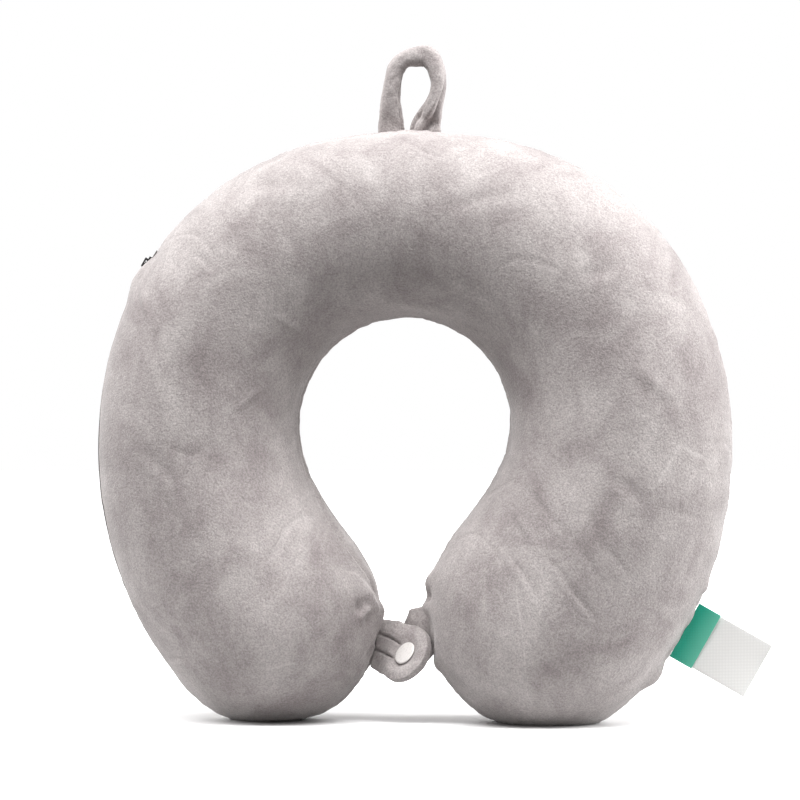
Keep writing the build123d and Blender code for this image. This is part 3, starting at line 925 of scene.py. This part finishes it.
class NECKPILLOW_OT_labels(bpy.types.Operator):
    """Sews the short ribbon label and the two care leaves into the right seam"""
    bl_idname = "neck_pillow.labels"
    bl_label = "Side labels"

    def execute(self, context):
        low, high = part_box("short_label")
        short_reach, care_reach, tuck = 9.0 * MM, 36.4 * MM, 2.6 * MM
        short_width, care_width = 28.4 * MM, 27.3 * MM
        ribbon = cloth_strip(
            "ribbon_label", short_reach, short_width, 0.7 * MM, (low.y + high.y) / 2,
            lambda share, across: -0.5 * MM * share + 0.25 * MM * sin(across * 5), tuck)
        finish_piece(ribbon, FINISHES["ribbon"], None, ("short_label",), 40)
        leaves = []
        for name, lift, droop in (("care_leaf_front", -0.2 * MM, -0.6),
                                  ("care_leaf_back", 0.2 * MM, 0.5)):
            leaf = cloth_strip(
                name, care_reach, care_width, 0.25 * MM, lift,
                lambda share, across, droop=droop: droop * MM * share * share
                + 0.5 * MM * share * share * cos(across * 4), tuck)
            finish_piece(leaf, FINISHES["satin"], None,
                         ("care_label",) if not leaves else (), 40)
            leaves.append(leaf)
        for piece in [ribbon] + leaves:
            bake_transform(piece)
        return {"FINISHED"}


# ---- zip -------------------------------------------------------------
class NECKPILLOW_OT_zip(bpy.types.Operator):
    """Winds the nylon coils along both tapes"""
    bl_idname = "neck_pillow.zip"
    bl_label = "Zip coils"

    def execute(self, context):
        pitch, turn_radius, strand_radius = 1.25 * MM, 0.62 * MM, 0.24 * MM
        wider, flatter, slant, apart = 1.05, 0.9, 0.35, 0.02 * MM
        for side, node in ((-1, "zip_coil_front"), (1, "zip_coil_back")):
            start, end = node_angles(node)
            low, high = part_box(node)
            radii = [zip_place(v.co)[0] for v in frame["nodes"][node].data.vertices]
            radius = (min(radii) + max(radii)) / 2
            count = int((end - start) * radius / pitch)
            bpy.ops.object.select_all(action="DESELECT")
            bpy.ops.mesh.primitive_torus_add(
                major_segments=14, minor_segments=6, major_radius=turn_radius,
                minor_radius=strand_radius)
            obj = context.active_object
            obj.name = node.replace("zip_coil", "coil_turns")
            turn = obj.data.copy()
            joined = bmesh.new()
            for index in range(count):
                angle = start + (index + 0.5) * (end - start) / count
                outward = Vector((-cos(angle), 0, sin(angle)))
                place = ZIP_CENTRE + outward * radius
                place.y = (low.y + high.y) / 2 + side * apart
                along = Vector((sin(angle), 0, cos(angle)))
                lean = (along + Vector((0, side * slant, 0))).normalized()
                across = lean.cross(outward).normalized()
                matrix = Matrix((across * wider, outward * flatter, lean)).transposed().to_4x4()
                matrix.translation = place
                loop = turn.copy()
                loop.transform(matrix)
                joined.from_mesh(loop)
                bpy.data.meshes.remove(loop)
            joined.normal_update()
            joined.to_mesh(obj.data)
            joined.free()
            bpy.data.meshes.remove(turn)
            only(obj)
            bpy.ops.object.mode_set(mode="EDIT")
            bpy.ops.mesh.select_all(action="SELECT")
            bpy.ops.mesh.normals_make_consistent(inside=False)
            bpy.ops.object.mode_set(mode="OBJECT")
            finish_piece(obj, FINISHES["coil"], "pillow", (node,), 80)
        return {"FINISHED"}


# ---- carried-over pieces ---------------------------------------------
class NECKPILLOW_OT_hardware(bpy.types.Operator):
    """Gives the stud, slider, tapes, liner and foam their finishes"""
    bl_idname = "neck_pillow.hardware"
    bl_label = "Stud, slider and inner layers"

    def execute(self, context):
        wanted = {"stud": ("snap_socket", "snap_stud", "snap_back_cap"),
                  "slider": ("zip_slider", "zip_pull_tab", "zip_top_stops", "zip_bottom_stop"),
                  "tape": ("zip_tape_front", "zip_tape_back"),
                  "lining": ("inner_liner",), "foam": ("foam_core",)}
        for finish, nodes in wanted.items():
            for name in nodes:
                node = frame["nodes"][name]
                node.data.materials.clear()
                node.data.materials.append(FINISHES[finish])
        return {"FINISHED"}


# ---- stage -----------------------------------------------------------
def area_light(name, place, target, size, power):
    """A soft rectangular light that faces the target."""
    data = bpy.data.lights.new(name, "AREA")
    data.shape = "RECTANGLE"
    data.size, data.size_y = size
    data.energy = power
    lamp = bpy.data.objects.new(name, data)
    bpy.context.scene.collection.objects.link(lamp)
    lamp.location = place
    lamp.rotation_euler = (Vector(target) - Vector(place)).to_track_quat("-Z", "Y").to_euler()


def floor_material():
    """White floor: shaded near the object, plain white away from it."""
    near_bounce, far_bounce, seen_white = 0.50, 0.05, (0.94, 0.94, 0.94, 1)
    material, tree, shader = new_material("Pale Floor", Roughness=0.8, Specular_IOR_Level=0.1)
    seen = add_node(tree, "ShaderNodeLightPath").outputs["Is Camera Ray"]
    distance = add_node(tree, "ShaderNodeVectorMath", {0: object_place(tree)},
                        operation="LENGTH").outputs["Value"]
    bounce = ranged(tree, distance, 0.16, 0.44, near_bounce, far_bounce, "SMOOTHSTEP")
    tree.links.new(mixed(tree, seen, bounce, seen_white), shader.inputs["Base Color"])
    away = ranged(tree, distance, 0.10, 0.45, curve="SMOOTHSTEP")
    tree.links.new(maths(tree, "MULTIPLY", away, seen), shader.inputs["Emission Color"])
    shader.inputs["Emission Strength"].default_value = 1.0
    return material


def studio_world(strength):
    """White surroundings whose light on the object is weaker than they look."""
    world = bpy.data.worlds.new("Studio")
    world.use_nodes = True
    tree = world.node_tree
    background = tree.nodes["Background"]
    seen = add_node(tree, "ShaderNodeLightPath").outputs["Is Camera Ray"]
    background.inputs["Color"].default_value = (1, 1, 1, 1)
    tree.links.new(ranged(tree, seen, low=strength), background.inputs["Strength"])
    return world


class NECKPILLOW_OT_stage(bpy.types.Operator):
    """Sets out the pale floor, the soft lights and the camera"""
    bl_idname = "neck_pillow.stage"
    bl_label = "Floor, lights and camera"

    def execute(self, context):
        scene = context.scene
        scene.view_settings.view_transform = "Standard"
        bpy.ops.object.select_all(action="DESELECT")
        bpy.ops.mesh.primitive_circle_add(vertices=96, radius=6.0, fill_type="TRIFAN")
        floor = context.active_object
        floor.name = "studio_floor"
        floor.data.materials.append(floor_material())
        scene.world = studio_world(0.34)
        middle = (0, 0, 0.15)
        area_light("top_light", (0.03, -0.42, 1.25), middle, (1.9, 0.5), 33)
        area_light("left_light", (-1.3, 0.15, 0.60), middle, (0.5, 0.9), 11.5)
        area_light("right_light", (1.3, 0.15, 0.60), middle, (0.5, 0.9), 20.0)
        area_light("back_light", (0.0, 1.3, 0.45), middle, (1.8, 0.9), 16)
        camera = bpy.data.objects.new("camera", bpy.data.cameras.new("camera"))
        scene.collection.objects.link(camera)
        azimuth, distance, frame_width, sensor = radians(7.0), 1.7, 0.3752, 36
        aim = Vector((-0.006, 0, 0.1505))
        camera.location = aim + Vector((sin(azimuth), -cos(azimuth), 0)) * distance
        camera.rotation_euler = (aim - camera.location).to_track_quat("-Z", "Y").to_euler()
        camera.data.sensor_width = sensor
        camera.data.lens = sensor * distance / frame_width
        scene.camera = camera
        return {"FINISHED"}


class NECKPILLOW_PT_pieces(bpy.types.Panel):
    bl_label = "Neck Pillow"
    bl_space_type = "VIEW_3D"
    bl_region_type = "UI"
    bl_category = "Neck Pillow"

    def draw(self, context):
        for settings in (context.scene.neck_pillow_velour, context.scene.neck_pillow_trim):
            for key in settings.bl_rna.properties.keys():
                if key not in ("rna_type", "name"):
                    self.layout.prop(settings, key)
        for operator in OPERATORS:
            self.layout.operator(operator.bl_idname)


OPERATORS = (NECKPILLOW_OT_cover, NECKPILLOW_OT_loop, NECKPILLOW_OT_tabs, NECKPILLOW_OT_labels,
             NECKPILLOW_OT_zip, NECKPILLOW_OT_hardware, NECKPILLOW_OT_stage)
CLASSES = (VelourSettings, TrimSettings) + OPERATORS + (NECKPILLOW_PT_pieces,)


def register():
    for item in CLASSES:
        bpy.utils.register_class(item)
    bpy.types.Scene.neck_pillow_velour = bpy.props.PointerProperty(type=VelourSettings)
    bpy.types.Scene.neck_pillow_trim = bpy.props.PointerProperty(type=TrimSettings)


def unregister():
    del bpy.types.Scene.neck_pillow_velour
    del bpy.types.Scene.neck_pillow_trim
    for item in reversed(CLASSES):
        bpy.utils.unregister_class(item)


def main():
    register()
    make_finishes()
    bpy.ops.neck_pillow.cover()
    bpy.ops.neck_pillow.loop()
    bpy.ops.neck_pillow.tabs()
    bpy.ops.neck_pillow.labels()
    bpy.ops.neck_pillow.zip()
    bpy.ops.neck_pillow.hardware()
    bpy.ops.neck_pillow.stage()


if __name__ == "__main__":
    main()
